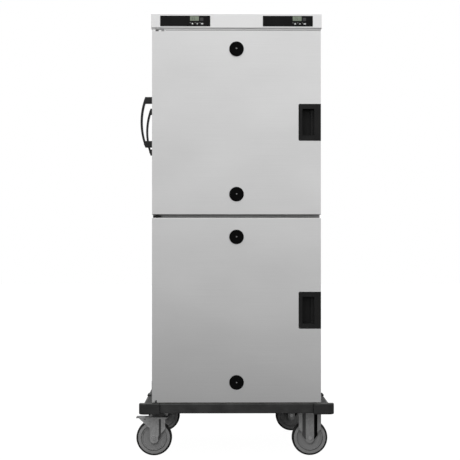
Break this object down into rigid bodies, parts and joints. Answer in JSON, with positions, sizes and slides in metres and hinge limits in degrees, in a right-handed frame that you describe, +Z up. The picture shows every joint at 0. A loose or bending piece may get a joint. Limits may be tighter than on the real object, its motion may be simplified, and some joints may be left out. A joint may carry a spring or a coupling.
{
  "type": "food holding cart",
  "caption": "Tall stainless heated holding cart on casters: stacked insulated chambers with tray racks, hinged doors with rotary vents and recessed latches, bumper base and push handles.",
  "frame": {"origin": "on the floor, below the middle of the part's overall box", "axes": "+X to the right of someone facing the doors, +Y to the back, +Z up; the doors face -Y"},
  "size_m": [0.8245, 0.9, 1.845],
  "materials": {
    "stainless": "fine brushed stainless sheet",
    "zinc_steel": "dull zinc",
    "black_steel": "black coated",
    "black_rubber": "matt",
    "black_plastic": "fine textured moulding",
    "grey_tyre": "matt grey rubber",
    "grey_hub": "matt grey moulding",
    "panel_black": "satin film",
    "key_white": "black key with a pale printed mark",
    "display_glass": "grey green liquid crystal window",
    "mineral_wool": "fibrous",
    "heater_silicone": "ribbed silicone mat",
    "circuit_board": "solder mask"
  },
  "bodies": {
    "cabinet": {"outer_casing": "stainless", "front_frame": "stainless", "rear_cover": "stainless", "power_inlet": "black_plastic", "insulation": "mineral_wool", "upper_liner": "stainless", "lower_liner": "stainless", "upper_tray_racks": "stainless", "lower_tray_racks": "stainless", "heater_mats": "heater_silicone", "control_cap": "stainless", "left_control_panel": "panel_black", "right_control_panel": "panel_black", "display_windows": "display_glass", "control_boards": "circuit_board", "latch_keepers": "black_steel", "hinge_brackets": "black_steel", "front_push_handle": "black_plastic", "rear_push_handle": "black_plastic", "base_chassis": "zinc_steel", "bumper_strips": "black_rubber", "corner_bumpers": "black_rubber", "side_buffers": "black_rubber", "swivel_heads": "zinc_steel", "fixed_forks": "zinc_steel", "fixed_axles": "zinc_steel"},
    "upper_door": {"upper_door_skin": "stainless", "upper_door_liner": "stainless", "upper_door_gasket": "black_rubber", "upper_latch_housing": "black_plastic"},
    "upper_lever": {"upper_latch_lever": "black_plastic"},
    "upper_top_vent_knob": {"upper_top_vent": "black_plastic"},
    "upper_bottom_vent_knob": {"upper_bottom_vent": "black_plastic"},
    "lower_door": {"lower_door_skin": "stainless", "lower_door_liner": "stainless", "lower_door_gasket": "black_rubber", "lower_latch_housing": "black_plastic"},
    "lower_lever": {"lower_latch_lever": "black_plastic"},
    "lower_top_vent_knob": {"lower_top_vent": "black_plastic"},
    "lower_bottom_vent_knob": {"lower_bottom_vent": "black_plastic"},
    "left_first_button": {"left_first_key": "key_white"},
    "left_second_button": {"left_second_key": "key_white"},
    "left_third_button": {"left_third_key": "key_white"},
    "right_first_button": {"right_first_key": "key_white"},
    "right_second_button": {"right_second_key": "key_white"},
    "right_third_button": {"right_third_key": "key_white"},
    "front_left_caster": {"front_left_fork": "zinc_steel", "front_left_axle": "zinc_steel"},
    "front_left_pedal": {"front_left_brake_pedal": "black_steel"},
    "front_left_wheel": {"front_left_hub": "grey_hub", "front_left_tyre": "grey_tyre"},
    "front_right_wheel": {"front_right_hub": "grey_hub", "front_right_tyre": "grey_tyre"},
    "rear_left_caster": {"rear_left_fork": "zinc_steel", "rear_left_axle": "zinc_steel"},
    "rear_left_pedal": {"rear_left_brake_pedal": "black_steel"},
    "rear_left_wheel": {"rear_left_hub": "grey_hub", "rear_left_tyre": "grey_tyre"},
    "rear_right_wheel": {"rear_right_hub": "grey_hub", "rear_right_tyre": "grey_tyre"}
  },
  "joints": [
    {"name": "upper_door_swing", "type": "hinge", "parent": "cabinet", "child": "upper_door", "pos_m": [-0.33, -0.402, 1.012], "axis": [0, 0, -1], "range_deg": [0, 180]},
    {"name": "upper_latch_pull", "type": "hinge", "parent": "upper_door", "child": "upper_lever", "pos_m": [0.336, -0.406, 1.39425], "axis": [0, 0, 1], "range_deg": [0, 18], "stiffness_Nm_per_rad": 0.5},
    {"name": "upper_top_vent_turn", "type": "hinge", "parent": "upper_door", "child": "upper_top_vent_knob", "pos_m": [0, -0.43, 1.698], "axis": [0, 1, 0], "range_deg": [0, 90]},
    {"name": "upper_bottom_vent_turn", "type": "hinge", "parent": "upper_door", "child": "upper_bottom_vent_knob", "pos_m": [0, -0.43, 1.096], "axis": [0, 1, 0], "range_deg": [0, 90]},
    {"name": "lower_door_swing", "type": "hinge", "parent": "cabinet", "child": "lower_door", "pos_m": [-0.33, -0.402, 0.233], "axis": [0, 0, -1], "range_deg": [0, 180]},
    {"name": "lower_latch_pull", "type": "hinge", "parent": "lower_door", "child": "lower_lever", "pos_m": [0.336, -0.406, 0.61525], "axis": [0, 0, 1], "range_deg": [0, 18], "stiffness_Nm_per_rad": 0.5},
    {"name": "lower_top_vent_turn", "type": "hinge", "parent": "lower_door", "child": "lower_top_vent_knob", "pos_m": [0, -0.43, 0.919], "axis": [0, 1, 0], "range_deg": [0, 90]},
    {"name": "lower_bottom_vent_turn", "type": "hinge", "parent": "lower_door", "child": "lower_bottom_vent_knob", "pos_m": [0, -0.43, 0.317], "axis": [0, 1, 0], "range_deg": [0, 90]},
    {"name": "left_first_key_press", "type": "slide", "parent": "cabinet", "child": "left_first_button", "axis": [0, 1, 0], "range_m": [0, 0.0008], "stiffness_N_per_m": 2500},
    {"name": "left_second_key_press", "type": "slide", "parent": "cabinet", "child": "left_second_button", "axis": [0, 1, 0], "range_m": [0, 0.0008], "stiffness_N_per_m": 2500},
    {"name": "left_third_key_press", "type": "slide", "parent": "cabinet", "child": "left_third_button", "axis": [0, 1, 0], "range_m": [0, 0.0008], "stiffness_N_per_m": 2500},
    {"name": "right_first_key_press", "type": "slide", "parent": "cabinet", "child": "right_first_button", "axis": [0, 1, 0], "range_m": [0, 0.0008], "stiffness_N_per_m": 2500},
    {"name": "right_second_key_press", "type": "slide", "parent": "cabinet", "child": "right_second_button", "axis": [0, 1, 0], "range_m": [0, 0.0008], "stiffness_N_per_m": 2500},
    {"name": "right_third_key_press", "type": "slide", "parent": "cabinet", "child": "right_third_button", "axis": [0, 1, 0], "range_m": [0, 0.0008], "stiffness_N_per_m": 2500},
    {"name": "front_left_swivel", "type": "hinge", "parent": "cabinet", "child": "front_left_caster", "pos_m": [-0.325, -0.33, 0.16], "axis": [0, 0, 1], "continuous": true},
    {"name": "front_left_roll", "type": "hinge", "parent": "front_left_caster", "child": "front_left_wheel", "pos_m": [-0.346, -0.33, 0.075], "axis": [0, 1, 0], "continuous": true},
    {"name": "front_left_brake", "type": "hinge", "parent": "front_left_caster", "child": "front_left_pedal", "pos_m": [-0.384, -0.33, 0.154], "axis": [0, -1, 0], "range_deg": [0, 12]},
    {"name": "front_right_roll", "type": "hinge", "parent": "cabinet", "child": "front_right_wheel", "pos_m": [0.31, -0.33, 0.075], "axis": [0, 1, 0], "continuous": true},
    {"name": "rear_left_swivel", "type": "hinge", "parent": "cabinet", "child": "rear_left_caster", "pos_m": [-0.316, 0.33, 0.16], "axis": [0, 0, 1], "continuous": true},
    {"name": "rear_left_roll", "type": "hinge", "parent": "rear_left_caster", "child": "rear_left_wheel", "pos_m": [-0.337, 0.33, 0.075], "axis": [0, 1, 0], "continuous": true},
    {"name": "rear_left_brake", "type": "hinge", "parent": "rear_left_caster", "child": "rear_left_pedal", "pos_m": [-0.375, 0.33, 0.154], "axis": [0, -1, 0], "range_deg": [0, 12]},
    {"name": "rear_right_roll", "type": "hinge", "parent": "cabinet", "child": "rear_right_wheel", "pos_m": [0.276, 0.33, 0.075], "axis": [0, 1, 0], "continuous": true}
  ]
}
